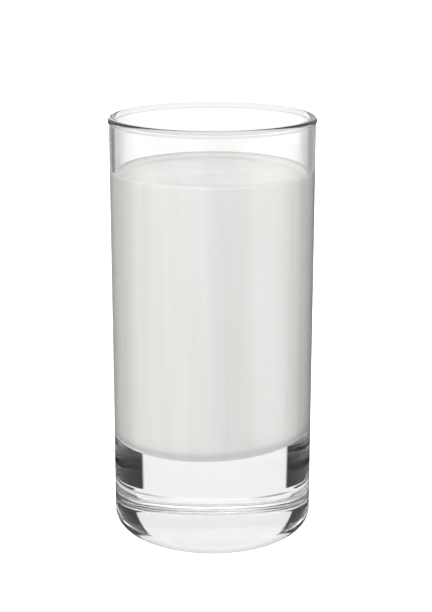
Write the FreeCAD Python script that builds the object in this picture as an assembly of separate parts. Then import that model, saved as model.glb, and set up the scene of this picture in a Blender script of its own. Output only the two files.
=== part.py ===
import FreeCAD, Part
import math
import os

# A straight-sided drinking glass with a thick clear base, filled with milk.
# All sizes in millimetres. The origin is the middle of the ring the glass stands on, +Z is up.

# glass, outside
glassHeight = 129.8      # from the table to the top of the rim
glassDiameter = 62.0     # of the straight wall
wall = 2.15              # thickness of the straight wall
heelRadius = 4.6         # rounding from the wall to the standing ring
ringWidth = 1.6          # flat ring that touches the table
pushUp = 1.8             # height of the hollow under the base

# glass, rim
beadProud = 0.3          # how far the fire-polished bead stands out of the wall
shoulderRadius = 0.5     # hollow rounding where the bead meets the wall

# glass, inside
baseThickness = 30.1     # solid glass under the middle of the inner floor
floorTilt = 2.4          # degrees that the inner floor climbs towards +X
cornerRadius = 4.0       # rounding from the inner floor to the inner wall

# milk
headSpace = 17.3         # from the top of the rim down to the milk's level surface
meniscusRise = 1.6       # how far the milk climbs the wall
meniscusWidth = 2.6      # ring over which it climbs

outerRadius = glassDiameter / 2
innerRadius = outerRadius - wall
ringOuter = outerRadius - heelRadius
ringInner = ringOuter - ringWidth
beadRadius = (wall + beadProud) / 2
bead = (innerRadius + beadRadius, glassHeight - beadRadius)
milkLevel = glassHeight - headSpace

axisFoot = FreeCAD.Vector(0, 0, 0)
upwards = FreeCAD.Vector(0, 0, 1)


def point(radius, height):
    return FreeCAD.Vector(radius, 0, height)


def line(start, end):
    return Part.LineSegment(point(*start), point(*end)).toShape()


def onCircle(centre, radius, degrees):
    """A point of the outline, where 0 degrees is outwards and 90 is up."""
    angle = math.radians(degrees)
    return (centre[0] + radius * math.cos(angle), centre[1] + radius * math.sin(angle))


def arc(centre, radius, start, end):
    stops = (start, (start + end) / 2, end)
    return Part.Arc(*[point(*onCircle(centre, radius, stop)) for stop in stops]).toShape()


def turned(edges):
    """A solid turned round the glass's axis from half of its outline."""
    return Part.Face(Part.Wire(edges)).revolve(axisFoot, upwards, 360)


def glassBlank():
    """The outside of the glass, not yet hollow: push-up, standing ring, heel, wall, shoulder and bead."""
    domeRadius = (ringInner**2 + pushUp**2) / (2 * pushUp)
    domeEdge = math.degrees(math.acos(ringInner / domeRadius))
    shoulderOut = outerRadius + shoulderRadius
    lean = math.degrees(math.acos((shoulderOut - bead[0]) / (beadRadius + shoulderRadius)))
    shoulder = (shoulderOut, bead[1] - (beadRadius + shoulderRadius) * math.sin(math.radians(lean)))
    return turned([
        arc((0, pushUp - domeRadius), domeRadius, 90, domeEdge),
        line((ringInner, 0), (ringOuter, 0)),
        arc((ringOuter, heelRadius), heelRadius, -90, 0),
        line((outerRadius, heelRadius), (outerRadius, shoulder[1])),
        arc(shoulder, shoulderRadius, 180, 180 - lean),
        arc(bead, beadRadius, -lean, 90),
        line((bead[0], glassHeight), (0, glassHeight)),
        line((0, glassHeight), (0, pushUp)),
    ])


def bore():
    """The space inside the glass: straight, with a tilted floor and a rounded corner."""
    lowest = baseThickness - outerRadius * math.tan(math.radians(floorTilt)) - wall
    cylinder = Part.makeCylinder(innerRadius, glassHeight - lowest, point(0, lowest))
    reach = 2 * outerRadius
    base = Part.makeBox(2 * reach, 2 * reach, reach, FreeCAD.Vector(-reach, -reach, -reach))
    base.rotate(axisFoot, FreeCAD.Vector(0, 1, 0), -floorTilt)
    base.translate(point(0, baseThickness))
    space = cylinder.cut(base)
    floorRim = min(space.Edges, key=lambda edge: abs(edge.CenterOfMass.z - baseThickness))
    return space.makeFillet(cornerRadius, [floorRim])


def mouth():
    """The air over the inner half of the rim, which rounds the bead inwards."""
    return turned([
        line((0, bead[1]), (innerRadius, bead[1])),
        arc(bead, beadRadius, 180, 90),
        line((bead[0], glassHeight), (0, glassHeight)),
        line((0, glassHeight), (0, bead[1])),
    ])


def underMilkSurface():
    """All that lies under the milk's surface: level, with a rim that climbs the wall."""
    levelEdge = innerRadius - meniscusWidth
    curveRadius = (meniscusWidth**2 + meniscusRise**2) / (2 * meniscusRise)
    climb = milkLevel + meniscusRise
    turn = 90 - math.degrees(math.asin(meniscusWidth / curveRadius))
    return turned([
        line((0, 0), (outerRadius, 0)),
        line((outerRadius, 0), (outerRadius, climb)),
        line((outerRadius, climb), (innerRadius, climb)),
        arc((levelEdge, milkLevel + curveRadius), curveRadius, -turn, -90),
        line((levelEdge, milkLevel), (0, milkLevel)),
        line((0, milkLevel), (0, 0)),
    ])


def save(node, shape):
    solid = shape.Solids[0]
    print(node, "solids", len(shape.Solids), "valid", solid.isValid(), "mm3", round(solid.Volume, 1))
    solid.exportStep("parts/" + node + ".step")


os.makedirs("parts", exist_ok=True)
inside = bore()
save("glass", glassBlank().cut(inside).cut(mouth()))
save("milk", inside.common(underMilkSurface()))
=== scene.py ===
import math

import bmesh
import bpy
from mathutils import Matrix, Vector, noise


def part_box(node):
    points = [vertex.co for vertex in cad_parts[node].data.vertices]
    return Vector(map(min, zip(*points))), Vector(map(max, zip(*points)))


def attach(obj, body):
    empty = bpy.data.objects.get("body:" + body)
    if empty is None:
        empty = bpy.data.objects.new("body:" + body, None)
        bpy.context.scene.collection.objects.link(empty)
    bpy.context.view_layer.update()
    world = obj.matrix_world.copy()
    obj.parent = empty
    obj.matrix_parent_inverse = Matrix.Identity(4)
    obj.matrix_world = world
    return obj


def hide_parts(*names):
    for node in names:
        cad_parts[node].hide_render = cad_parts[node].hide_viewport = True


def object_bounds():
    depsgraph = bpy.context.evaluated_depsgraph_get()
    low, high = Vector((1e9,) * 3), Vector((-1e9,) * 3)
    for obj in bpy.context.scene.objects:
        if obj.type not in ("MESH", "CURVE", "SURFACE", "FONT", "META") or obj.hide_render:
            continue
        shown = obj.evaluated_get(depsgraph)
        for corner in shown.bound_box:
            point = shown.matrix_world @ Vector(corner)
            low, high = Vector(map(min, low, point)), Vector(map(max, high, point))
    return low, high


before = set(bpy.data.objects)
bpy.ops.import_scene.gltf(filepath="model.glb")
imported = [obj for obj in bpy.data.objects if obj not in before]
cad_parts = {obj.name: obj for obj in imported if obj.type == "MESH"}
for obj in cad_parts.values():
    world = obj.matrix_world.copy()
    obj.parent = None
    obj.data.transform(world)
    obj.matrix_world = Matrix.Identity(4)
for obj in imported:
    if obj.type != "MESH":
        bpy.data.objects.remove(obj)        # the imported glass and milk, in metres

cadLow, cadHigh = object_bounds()        # the CAD box; the lamps stand round its middle
print("frame loaded:", ", ".join(sorted(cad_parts)))


def mm(length):
    return length / 1000


def srgb(code):
    # a web colour such as "f4f2ea", as the linear colour that Cycles wants
    channels = [int(code[i:i + 2], 16) / 255 for i in (0, 2, 4)]
    linear = [c / 12.92 if c <= 0.04045 else ((c + 0.055) / 1.055) ** 2.4 for c in channels]
    return (*linear, 1.0)


def addNode(tree, kind, inputs=None, **settings):
    # a node with its settings; each input is a plain value or the socket that feeds it
    node = tree.nodes.new(kind)
    for name, value in settings.items():
        setattr(node, name, value)
    for name, value in (inputs or {}).items():
        if isinstance(value, bpy.types.NodeSocket):
            tree.links.new(value, node.inputs[name])
        else:
            node.inputs[name].default_value = value
    return node


def newMaterial(name):
    material = bpy.data.materials.new(name)
    material.use_nodes = True
    material.node_tree.nodes.clear()
    return material, material.node_tree


def arcPoints(centre, radius, start, end, steps):
    # an arc of the outline in degrees, where 0 is outwards and 90 is up
    angles = [math.radians(start + (end - start) * i / steps) for i in range(steps + 1)]
    return [(centre[0] + radius * math.cos(a), centre[1] + radius * math.sin(a)) for a in angles]


def linePoints(start, end, steps):
    shares = [i / steps for i in range(steps + 1)]
    return [(start[0] + (end[0] - start[0]) * s, start[1] + (end[1] - start[1]) * s) for s in shares]


def joined(*runs):
    # the runs end to end, with the point where two of them meet kept once
    samePoint = mm(0.0001)
    outline = []
    for run in runs:
        for spot in run:
            if not outline or math.dist(spot, outline[-1]) > samePoint:
                outline.append(spot)
    return outline


def turnMesh(name, outline, segments, place):
    # half an outline, from axis to axis, turned once round; place() may push each point a little
    made = bmesh.new()
    rings = []
    onAxis = mm(0.001)
    for radius, height in outline:
        count = segments if radius > onAxis else 1
        turns = [2 * math.pi * i / count for i in range(count)]
        rings.append([made.verts.new(place(radius, height, turn)) for turn in turns])
    for lower, upper in zip(rings, rings[1:]):
        for i in range(segments):
            j = (i + 1) % segments
            if len(lower) == 1:
                made.faces.new((lower[0], upper[j], upper[i]))
            elif len(upper) == 1:
                made.faces.new((lower[i], lower[j], upper[0]))
            else:
                made.faces.new((lower[i], lower[j], upper[j], upper[i]))
    bmesh.ops.recalc_face_normals(made, faces=made.faces)
    for face in made.faces:
        face.smooth = True
    mesh = bpy.data.meshes.new(name)
    made.to_mesh(mesh)
    made.free()
    piece = bpy.data.objects.new(name, mesh)
    bpy.context.scene.collection.objects.link(piece)
    return piece


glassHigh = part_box("glass")[1]
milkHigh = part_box("milk")[1]

glass = {
    "wall": mm(2.15),                  # straight wall
    "heel": mm(4.6),                   # rounding at the foot
    "ring": mm(1.6),                   # flat ring that touches the table
    "pushUp": mm(1.8),                 # hollow underneath
    "shoulder": mm(0.5),               # hollow rounding under the bead
    "corner": mm(4.0),                 # rounding inside, at the floor
    "floorHeight": mm(30.1),           # solid glass under the middle of the inner floor
    "floorTilt": math.radians(2.4),    # the inner floor climbs towards +X
    "tiltFade": mm(30),                # height over which the tilt dies out in the inner wall
    "segments": 256,
    "steps": {                         # how finely each run of the outline is divided
        "dome": 24, "ring": 4, "heel": 110, "base": 80, "wall": 50, "shoulder": 6, "bead": 20,
        "lip": 12, "bore": 40, "corner": 20, "floor": 24,
    },
    "wave": mm(0.012),                 # slow unevenness of a pressed wall
    "waveLength": mm(16),
    "innerWave": 50,                   # takes the inside's waves from another part of the noise
    "chill": mm(0.0035),               # fine level ripples where the base cooled in the mould
    "chillLength": mm(1.1),
    "mouldRings": [mm(1.5), mm(3.0), mm(4.6)],        # shallow grooves round the heel, along its curve
    "ringDepth": mm(0.028),
    "ringSpread": mm(0.14),            # from a groove's middle to where a third of its depth is left
    "ringWander": mm(0.25),            # how far a groove strays up and down on its way round
    "ringBends": 2.5,                  # how often it does so
    "ringApart": 7,                    # keeps the wandering of the grooves unlike
    "tint": "fefefe",
    "bend": 1.51,                      # refractive index of soda-lime glass
    "shade": "f6f6f6",                 # what one wall lets through of light on its way to the milk
}

innerRadius = milkHigh.x
outerRadius = innerRadius + glass["wall"]
beadRadius = (glassHigh.x - innerRadius) / 2
bead = (innerRadius + beadRadius, glassHigh.z - beadRadius)
ringOuter = outerRadius - glass["heel"]
ringInner = ringOuter - glass["ring"]


def leaned(x, height):
    # the inner floor climbs towards +X; higher up the straight wall the lean fades out
    fade = 1 - (height - glass["floorHeight"] - 2 * glass["corner"]) / glass["tiltFade"]
    return height + math.tan(glass["floorTilt"]) * x * max(0.0, min(1.0, fade))


def glassOutside():
    g, steps = glass, glass["steps"]
    domeRadius = (ringInner**2 + g["pushUp"]**2) / (2 * g["pushUp"])
    domeEdge = math.degrees(math.acos(ringInner / domeRadius))
    shoulderOut = outerRadius + g["shoulder"]
    lean = math.acos((shoulderOut - bead[0]) / (beadRadius + g["shoulder"]))
    shoulder = (shoulderOut, bead[1] - (beadRadius + g["shoulder"]) * math.sin(lean))
    lean = math.degrees(lean)
    baseTop = g["floorHeight"] + g["corner"]
    return joined(
        arcPoints((0, g["pushUp"] - domeRadius), domeRadius, 90, domeEdge, steps["dome"]),
        linePoints((ringInner, 0), (ringOuter, 0), steps["ring"]),
        arcPoints((ringOuter, g["heel"]), g["heel"], -90, 0, steps["heel"]),
        linePoints((outerRadius, g["heel"]), (outerRadius, baseTop), steps["base"]),
        linePoints((outerRadius, baseTop), (outerRadius, shoulder[1]), steps["wall"]),
        arcPoints(shoulder, g["shoulder"], 180, 180 - lean, steps["shoulder"]),
        arcPoints(bead, beadRadius, -lean, 90, steps["bead"]),
    )


def glassInside():
    g, steps = glass, glass["steps"]
    floor = g["floorHeight"]
    cornerTop = floor + g["corner"]
    return joined(
        arcPoints(bead, beadRadius, 90, 180, steps["lip"]),
        linePoints((innerRadius, bead[1]), (innerRadius, cornerTop), steps["bore"]),
        arcPoints((innerRadius - g["corner"], cornerTop), g["corner"], 0, -90, steps["corner"]),
        linePoints((innerRadius - g["corner"], floor), (0, floor), steps["floor"]),
    )


def heelGroove(radius, height, turn):
    # how far the shallow mould rings sink the heel here; they wander a little round the glass
    g, bends = glass, glass["ringBends"]
    along = g["heel"] * (math.atan2(height - g["heel"], radius - ringOuter) + math.pi / 2)
    sink = 0
    for number, middle in enumerate(g["mouldRings"]):
        spot = Vector((bends * math.cos(turn), bends * math.sin(turn), g["ringApart"] * number))
        middle += g["ringWander"] * noise.noise(spot)
        depth = g["ringDepth"] * (1 + noise.noise(2 * spot))
        sink += depth * math.exp(-((along - middle) / g["ringSpread"]) ** 2)
    return sink


def placeOnGlass(radius, height, turn):
    # pushes a point of the outline to its place in the uneven, tilted, faintly grooved glass
    g, margin = glass, mm(0.01)
    if radius > ringOuter and height < g["heel"]:
        sink = heelGroove(radius, height, turn)
        radius -= sink * (radius - ringOuter) / g["heel"]
        height += sink * (g["heel"] - height) / g["heel"]
    inner = radius < innerRadius + margin and height > g["floorHeight"] / 2
    if radius > innerRadius - margin and g["heel"] <= height < bead[1] - beadRadius:
        around = Vector((math.cos(turn), math.sin(turn), 0)) * radius
        spot = (around + Vector((0, 0, height))) / g["waveLength"]
        push = g["wave"] * abs(noise.noise(spot + Vector((0, 0, g["innerWave"] if inner else 0))))
        if not inner:
            fine = around / g["waveLength"] + Vector((0, 0, height / g["chillLength"]))
            push += g["chill"] * abs(noise.noise(fine))
        radius += push if inner else -push
    x, y = radius * math.cos(turn), radius * math.sin(turn)
    return Vector((x, y, leaned(x, height) if inner else height))


def glassMaterial():
    # soda-lime glass, pressed and fire-polished: colourless, mirror-smooth, with bright and dark edges
    material, tree = newMaterial("sodaLimeGlassFirePolished")
    clear = addNode(tree, "ShaderNodeBsdfPrincipled", {
        "Base Color": srgb(glass["tint"]),
        "Roughness": 0.0,
        "IOR": glass["bend"],
        "Transmission Weight": 1.0,
    })
    shade = addNode(tree, "ShaderNodeBsdfTransparent", {"Color": srgb(glass["shade"])})
    path = addNode(tree, "ShaderNodeLightPath")
    mix = addNode(tree, "ShaderNodeMixShader", {
        0: path.outputs["Is Shadow Ray"], 1: clear.outputs[0], 2: shade.outputs[0]})
    addNode(tree, "ShaderNodeOutputMaterial", {"Surface": mix.outputs[0]})
    return material


vessel = turnMesh("glassVessel", joined(glassOutside(), glassInside()), glass["segments"], placeOnGlass)
vessel.data.materials.append(glassMaterial())
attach(vessel, "root")
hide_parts("glass")
print("glass made:", len(vessel.data.polygons), "faces")

milk = {
    "reach": mm(0.12),                 # how far it stands into the wall, so that no air shows between
    "meniscusRise": mm(1.6),
    "meniscusWidth": mm(2.6),
    "segments": 256,
    "steps": {"floor": 24, "corner": 20, "side": 60, "meniscus": 16, "top": 60},
    "slack": mm(0.5),                  # how near the wall or the surface still counts as part of it
    "ripple": mm(0.04),                # the top isn't quite level
    "rippleLength": mm(9),
    "fineRipple": 0.4,                 # height of the fine ripples, as a share of the broad ones
    "fineRippleLength": mm(3),
    "finePlace": 9,                    # takes the fine ripples from another part of the noise
    "body": "f9f9f8",
    "streak": "f1f1ef",                # faint upright streaks where it lies against the glass
    "streakWide": mm(5),
    "streakTall": mm(90),
    "under": "7c7c7a",                 # painted shade on the outer ring of the underside
    "underSlope": -0.85,               # it begins where the milk faces down this much
    "underFrom": 0.7,                  # and this far out, as a share of the radius
    "patchContrast": 2.5,              # how clearly the streaks and patches stand out
    "top": "fbfbf9",
    "mottle": "f3f3f1",                # soft uneven patches of the top
    "mottleLength": mm(7),
    "wallShade": "f3f3f0",               # painted shade: the top darkens towards the wall
    "wallShadeWidth": mm(5),
    "meniscusShade": "c6c6c2",                  # painted shade on the meniscus where it climbs the wall
    "meniscusShadeDepth": 0.8,                  # how far down the meniscus it reaches, as a share of the rise
}


def milkOutline():
    m, steps = milk, milk["steps"]
    side = innerRadius + m["reach"]
    low = glass["floorHeight"] - m["reach"]
    corner = glass["corner"] + m["reach"]
    climb = milkHigh.z
    level = climb - m["meniscusRise"]
    levelEdge = innerRadius - m["meniscusWidth"]
    curve = (m["meniscusWidth"]**2 + m["meniscusRise"]**2) / (2 * m["meniscusRise"])
    sweep = math.degrees(math.asin(m["meniscusWidth"] / curve))
    return joined(
        linePoints((0, low), (side - corner, low), steps["floor"]),
        arcPoints((side - corner, low + corner), corner, -90, 0, steps["corner"]),
        linePoints((side, low + corner), (side, climb), steps["side"]),
        linePoints((side, climb), (innerRadius, climb), 1),
        arcPoints((levelEdge, level + curve), curve, sweep - 90, -90, steps["meniscus"]),
        linePoints((levelEdge, level), (0, level), steps["top"]),
    )


def placeOnMilk(radius, height, turn):
    # the floor tilts with the glass; the surface gets its ripples, except close to the wall
    m = milk
    x, y = radius * math.cos(turn), radius * math.sin(turn)
    if height < milkHigh.z - m["meniscusRise"] - 2 * m["slack"]:
        return Vector((x, y, leaned(x, height)))
    if radius < innerRadius - m["slack"]:
        broad = noise.noise(Vector((x, y, 0)) / m["rippleLength"])
        fine = noise.noise(Vector((x, y, m["finePlace"])) / m["fineRippleLength"])
        height += m["ripple"] * (broad + m["fineRipple"] * fine)
    return Vector((x, y, height))


def softNoise(tree, place, sizes):
    # a noise of 0 to 1 in cells of the given sizes
    reach = 0.5 / milk["patchContrast"]
    cells = addNode(tree, "ShaderNodeMapping", {"Vector": place, "Scale": [1 / size for size in sizes]})
    pattern = addNode(tree, "ShaderNodeTexNoise", {
        "Vector": cells.outputs[0], "Scale": 1.0, "Detail": 2.0})
    return addNode(tree, "ShaderNodeMapRange", {
        "Value": pattern.outputs[0],
        "From Min": 0.5 - reach,
        "From Max": 0.5 + reach,
    }).outputs[0]


def radiusAndHeight(tree, place):
    split = addNode(tree, "ShaderNodeSeparateXYZ", {0: place})
    across = addNode(tree, "ShaderNodeCombineXYZ", {0: split.outputs[0], 1: split.outputs[1]})
    radius = addNode(tree, "ShaderNodeVectorMath", {0: across.outputs[0]}, operation="LENGTH")
    return radius.outputs["Value"], split.outputs[2]


def layered(tree, colour, layers):
    # lays each layer's colour over the ones before it, as far as the layer's share goes
    for name, share, over in layers:
        mixed = addNode(tree, "ShaderNodeMixRGB", {0: share, 1: colour, 2: over}, name=name)
        colour = mixed.outputs[0]
    return colour


def milkBodyMaterial():
    # whole milk against glass: a soft, matt white with faint upright streaks and no shine of its own,
    # with painted shade on the outer ring of its underside
    material, tree = newMaterial("wholeMilkAgainstGlass")
    m = milk
    place = addNode(tree, "ShaderNodeTexCoord").outputs["Object"]
    streaks = softNoise(tree, place, (m["streakWide"], m["streakWide"], m["streakTall"]))
    radius = radiusAndHeight(tree, place)[0]
    facing = addNode(tree, "ShaderNodeNewGeometry").outputs["Normal"]
    slope = addNode(tree, "ShaderNodeSeparateXYZ", {0: facing}).outputs[2]
    outwards = addNode(tree, "ShaderNodeMapRange", {
        "Value": radius,
        "From Min": m["underFrom"] * innerRadius,
        "From Max": innerRadius,
    }, interpolation_type="SMOOTHSTEP")
    downwards = addNode(tree, "ShaderNodeMapRange", {
        "Value": slope,
        "From Min": m["underSlope"],
        "From Max": -1.0,
    }, interpolation_type="SMOOTHSTEP")
    # painted shade: the outer ring of the underside, where it faces down, is darkened
    under = addNode(tree, "ShaderNodeMath", {
        0: outwards.outputs[0], 1: downwards.outputs[0]}, operation="MULTIPLY")
    colour = layered(tree, srgb(m["body"]), (
        ("streaks", streaks, srgb(m["streak"])),
        ("under", under.outputs[0], srgb(m["under"])),
    ))
    shader = addNode(tree, "ShaderNodeBsdfPrincipled", {
        "Base Color": colour,
        "Roughness": 0.6,
        "Specular IOR Level": 0.0,
    })
    addNode(tree, "ShaderNodeOutputMaterial", {"Surface": shader.outputs[0]})
    return material


def milkTopMaterial():
    # the open surface of whole milk: a wet gloss over soft patches, with painted shade towards the wall
    # and up the meniscus where it climbs the wall
    material, tree = newMaterial("wholeMilkSurface")
    m = milk
    place = addNode(tree, "ShaderNodeTexCoord").outputs["Object"]
    patches = softNoise(tree, place, [m["mottleLength"]] * 3)
    radius, height = radiusAndHeight(tree, place)
    # painted shade: the top grows darker towards the wall
    wallShaded = addNode(tree, "ShaderNodeMapRange", {
        "Value": radius,
        "From Min": innerRadius - m["wallShadeWidth"],
        "From Max": innerRadius,
    }, interpolation_type="SMOOTHSTEP")
    # painted shade on the meniscus, darkest at the top of its climb
    meniscusShaded = addNode(tree, "ShaderNodeMapRange", {
        "Value": height,
        "From Min": milkHigh.z - m["meniscusShadeDepth"] * m["meniscusRise"],
        "From Max": milkHigh.z,
    }, interpolation_type="SMOOTHSTEP")
    colour = layered(tree, srgb(m["top"]), (
        ("patches", patches, srgb(m["mottle"])),
        ("wallShaded", wallShaded.outputs[0], srgb(m["wallShade"])),
        ("meniscusShaded", meniscusShaded.outputs[0], srgb(m["meniscusShade"])),
    ))
    shader = addNode(tree, "ShaderNodeBsdfPrincipled", {
        "Base Color": colour,
        "Roughness": 0.25,
        "IOR": 1.35,
    })
    addNode(tree, "ShaderNodeOutputMaterial", {"Surface": shader.outputs[0]})
    return material


fill = turnMesh("milkFill", milkOutline(), milk["segments"], placeOnMilk)
fill.data.materials.append(milkBodyMaterial())
fill.data.materials.append(milkTopMaterial())
surfaceFrom = milkHigh.z - milk["meniscusRise"] - milk["slack"]
upwards = 0.05                         # a face that looks up less than this isn't surface
for face in fill.data.polygons:
    if face.normal.z > upwards and face.center.z > surfaceFrom:
        face.material_index = 1
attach(fill, "root")
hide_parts("milk")
print("milk made:", len(fill.data.polygons), "faces")

# Degrees all round run from +Y towards -X, and heights are degrees above the horizon.
# Rays that have come through the glass see the bright room with its cards; rays that bounced off
# the glass see tall soft boxes; the camera itself sees plain white.
bright, black = 0.95, 0.03
allRound, straightDown, straightUp = 181, -91, 91        # a little past the full turn and the vertical
studio = {
    "seen": 1.0,                       # the white behind the glass
    "soft": 0.18,                      # what lights the milk and the table evenly from all round
    "room": bright,                    # where no card stands
    # left and right say where the thick base shows a card, which stands on the glass's other side
    "cards": [                         # name, azimuths, heights, brightness, width of its soft sides
        ("levelGlow", -allRound, allRound, -11, -7, 1.04, 1),
        ("greyFront", -allRound, -60, -11, -7, 0.82, 20),
        ("greyLeft", -60, -19, -11, -7, 0.5, 16),
        ("greyRight", 18, 37, -11, -7, 0.34, 12),
        ("blackLeft", -98, -39.5, -17, -11, black, 3),
        ("blackRight", 43.5, 98, -17, -11, black, 3),
        ("blackLeftSide", -98, -34.5, -27, -20.9, black, 2),
        ("blackRightSide", 38.5, 98, -27, -20.9, black, 2),
        ("blackAtCamera", -allRound, -172, -27, -11, black, 2),
        ("blackFront", 127, allRound, -27, -11, black, 2),
        ("dimUnder", -allRound, allRound, straightDown, -27, 0.2, 1),
        ("whiteUnder", -38, 39, straightDown, -27, bright, 2),
        ("greyOver", -allRound, allRound, 3, 50, 0.5, 1),
        ("whiteOver", -36.5, 40, 3, 50, 0.89, 2),
        ("blackOverLeft", -70, -36.5, 3, 50, black, 2),
        ("blackOverRight", 40, 88, 3, 50, black, 2),
    ],
    "dark": 0.0,                       # between the boxes
    "boxes": [                         # as the cards, but left and right say where a box stands
        ("rightBox", -141, -80, -21.3, 0, 2.1, 36),
        ("rearBox", -12, 17, -21.3, 0, 0.85, 8),
        ("leftBox", 80, 121, -21.3, 0, 1.25, 22),
        ("leftFrontBox", 121, 169, -21.3, 0, 0.8, 12),
        ("whiteCeiling", -allRound, allRound, 0, straightUp, 0.7, 1),
    ],
    "blueLift": 0.97,                  # below 1 the darks of the studio turn slightly blue
    "edge": 1.0,                       # softness of a card's lower and upper side, in degrees
    # a light's azimuth is 0 on the camera's side and 90 towards +X
    "lights": [                        # name, azimuth, height, watts, colour
        ("frontLight", 0, 20, 12.6, "ffffff"),
        ("leftLight", -80, 15, 10.5, "fffef8"),
        ("fillLight", 33, 20, 6.6, "ffffff"),
        ("rightLight", 80, 15, 2.5, "fffef4"),
        ("backLight", 190, 30, 14.6, "ffffff"),
        ("backLeftLight", -140, 15, 3.5, "ffffff"),
        ("backRightLight", 140, 15, 4.5, "ffffff"),
    ],
    "lightSize": 0.9,                  # metres across
    "lightDistance": 1.4,              # metres from the middle of the glass
    "underLight": 0.04,                # watts that the white table sends up through the base
    "underDepth": mm(5),               # how far below the table that light is
    "table": 6.0,                      # metres from its middle to a side
    "tableGlow": 0.85,                 # brings the table up to plain white
}


def makeFloor():
    mesh = bpy.data.meshes.new("floor")
    half = studio["table"]
    corners = [(-half, -half, 0), (half, -half, 0), (half, half, 0), (-half, half, 0)]
    mesh.from_pydata(corners, [], [(0, 1, 2, 3)])
    floor = bpy.data.objects.new("floor", mesh)
    bpy.context.scene.collection.objects.link(floor)
    # a table of matt white acrylic, lit from inside so that it fades into the white behind it
    material, tree = newMaterial("whiteAcrylicTable")
    shader = addNode(tree, "ShaderNodeBsdfPrincipled", {
        "Base Color": srgb("fafafa"),
        "Roughness": 0.9,
        "Specular IOR Level": 0.0,
        "Emission Color": srgb("ffffff"),
        "Emission Strength": studio["tableGlow"],
    })
    addNode(tree, "ShaderNodeOutputMaterial", {"Surface": shader.outputs[0]})
    material.cycles.emission_sampling = "NONE"
    mesh.materials.append(material)
    # the glass shows the studio's cards in its place, and it blocks no light from below
    floor.visible_transmission = False
    floor.visible_glossy = False
    floor.visible_shadow = False


def cardShare(tree, sides):
    # 1 on the card and 0 off it; a side is a value, its limit in degrees and half its softness,
    # which is negative where the card ends
    share = None
    for value, degrees, half in sides:
        side = addNode(tree, "ShaderNodeMapRange", {
            "Value": value,
            "From Min": math.radians(degrees - half),
            "From Max": math.radians(degrees + half),
        }).outputs[0]
        if share is None:
            share = side
            continue
        share = addNode(tree, "ShaderNodeMath", {0: share, 1: side}, operation="MULTIPLY").outputs[0]
    return share


def grey(brightness):
    return (brightness, brightness, brightness ** studio["blueLift"], 1)


def surroundings(tree, angle, height, field, cards):
    # each card lies over the ones before it
    half, layers = studio["edge"] / 2, []
    for name, left, right, lowest, highest, brightness, soft in cards:
        share = cardShare(tree, (
            (angle, left, soft / 2),
            (angle, right, -soft / 2),
            (height, lowest, half),
            (height, highest, -half),
        ))
        layers.append((name, share, grey(brightness)))
    return layered(tree, grey(field), layers)


def makeWorld():
    world = bpy.data.worlds.new("whiteStudio")
    bpy.context.scene.world = world
    world.use_nodes = True
    tree = world.node_tree
    tree.nodes.clear()
    direction = addNode(tree, "ShaderNodeTexCoord").outputs["Generated"]
    split = addNode(tree, "ShaderNodeSeparateXYZ", {0: direction})
    minusX = addNode(tree, "ShaderNodeMath", {0: split.outputs["X"], 1: -1.0}, operation="MULTIPLY")
    angle = addNode(tree, "ShaderNodeMath", {
        0: minusX.outputs[0], 1: split.outputs["Y"]}, operation="ARCTAN2")
    height = addNode(tree, "ShaderNodeMath", {0: split.outputs["Z"]}, operation="ARCSINE")
    around = (tree, angle.outputs[0], height.outputs[0])
    through = addNode(tree, "ShaderNodeBackground", {
        "Color": surroundings(*around, studio["room"], studio["cards"])}, name="through")
    bounced = addNode(tree, "ShaderNodeBackground", {
        "Color": surroundings(*around, studio["dark"], studio["boxes"])}, name="bounced")
    soft = addNode(tree, "ShaderNodeBackground", {"Strength": studio["soft"]}, name="soft")
    seen = addNode(tree, "ShaderNodeBackground", {"Strength": studio["seen"]}, name="seen")
    for plain in (soft, seen):
        plain.inputs["Color"].default_value = (1, 1, 1, 1)
    path = addNode(tree, "ShaderNodeLightPath")
    result = soft
    for kind, background in (("Glossy", bounced), ("Transmission", through), ("Camera", seen)):
        result = addNode(tree, "ShaderNodeMixShader", {
            0: path.outputs[f"Is {kind} Ray"], 1: result.outputs[0], 2: background.outputs[0]})
    addNode(tree, "ShaderNodeOutputWorld", {"Surface": result.outputs[0]})


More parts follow.
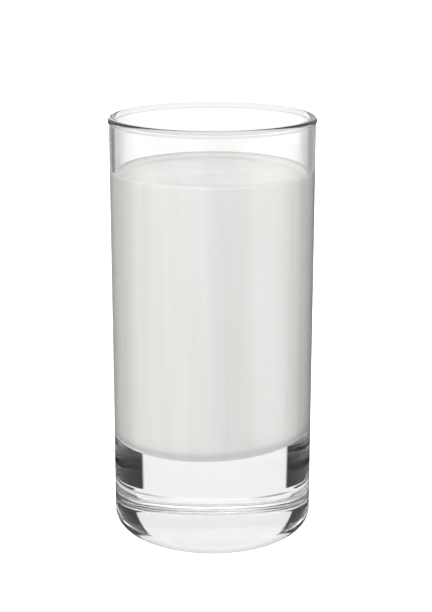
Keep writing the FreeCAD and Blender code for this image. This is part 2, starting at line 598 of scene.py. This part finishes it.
def addLight(name, place, towards, size, watts, colour):
    # a soft light that shines along -towards and isn't itself seen in the glass
    data = bpy.data.lights.new(name, "AREA")
    data.shape = "DISK"
    data.size = size
    data.energy = watts
    data.color = srgb(colour)[:3]
    data.cycles.use_multiple_importance_sampling = False        # keeps its full strength behind glass
    lamp = bpy.data.objects.new(name, data)
    lamp.location = place
    lamp.rotation_euler = towards.to_track_quat("Z", "Y").to_euler()
    lamp.visible_glossy = False
    lamp.visible_transmission = False
    lamp.visible_camera = False
    bpy.context.scene.collection.objects.link(lamp)


def makeLights():
    middle = (cadLow + cadHigh) / 2
    for name, azimuth, height, watts, colour in studio["lights"]:
        a, h = math.radians(azimuth), math.radians(height)
        towards = Vector((math.sin(a) * math.cos(h), -math.cos(a) * math.cos(h), math.sin(h)))
        place = middle + towards * studio["lightDistance"]
        addLight(name, place, towards, studio["lightSize"], watts, colour)
    under = Vector((0, 0, -1))
    place = under * studio["underDepth"]
    addLight("tableBounce", place, under, 2 * ringOuter, studio["underLight"], "ffffff")


makeFloor()
makeWorld()
makeLights()
print("studio made")

view = {
    "distance": 0.433,                 # metres from the glass's axis, measured level
    "height": 0.19375,                 # metres over the table
    "pitch": 15.87,                    # degrees down
    "lens": 85.55,                     # focal length in millimetres
    "sensor": 36,                      # its width in millimetres
    "shift": 0.0059,                   # the glass stands a little left of the middle
}


def makeCamera():
    data = bpy.data.cameras.new("camera")
    data.lens = view["lens"]
    data.sensor_width = view["sensor"]
    data.shift_x = view["shift"]
    camera = bpy.data.objects.new("camera", data)
    camera.location = (0, -view["distance"], view["height"])
    camera.rotation_euler = (math.radians(90 - view["pitch"]), 0, 0)
    bpy.context.scene.collection.objects.link(camera)
    bpy.context.scene.camera = camera


makeCamera()
glassBounces = 24                      # light goes to and fro many times in the thick base
wallBounces = 16                       # walls that a lamp's light may cross on its way to the milk
scene = bpy.context.scene
scene.view_settings.view_transform = "Standard"
scene.cycles.use_denoising = True
scene.cycles.caustics_refractive = False
scene.cycles.caustics_reflective = False
scene.cycles.max_bounces = glassBounces
scene.cycles.transmission_bounces = glassBounces
scene.cycles.transparent_max_bounces = wallBounces
print("camera set")
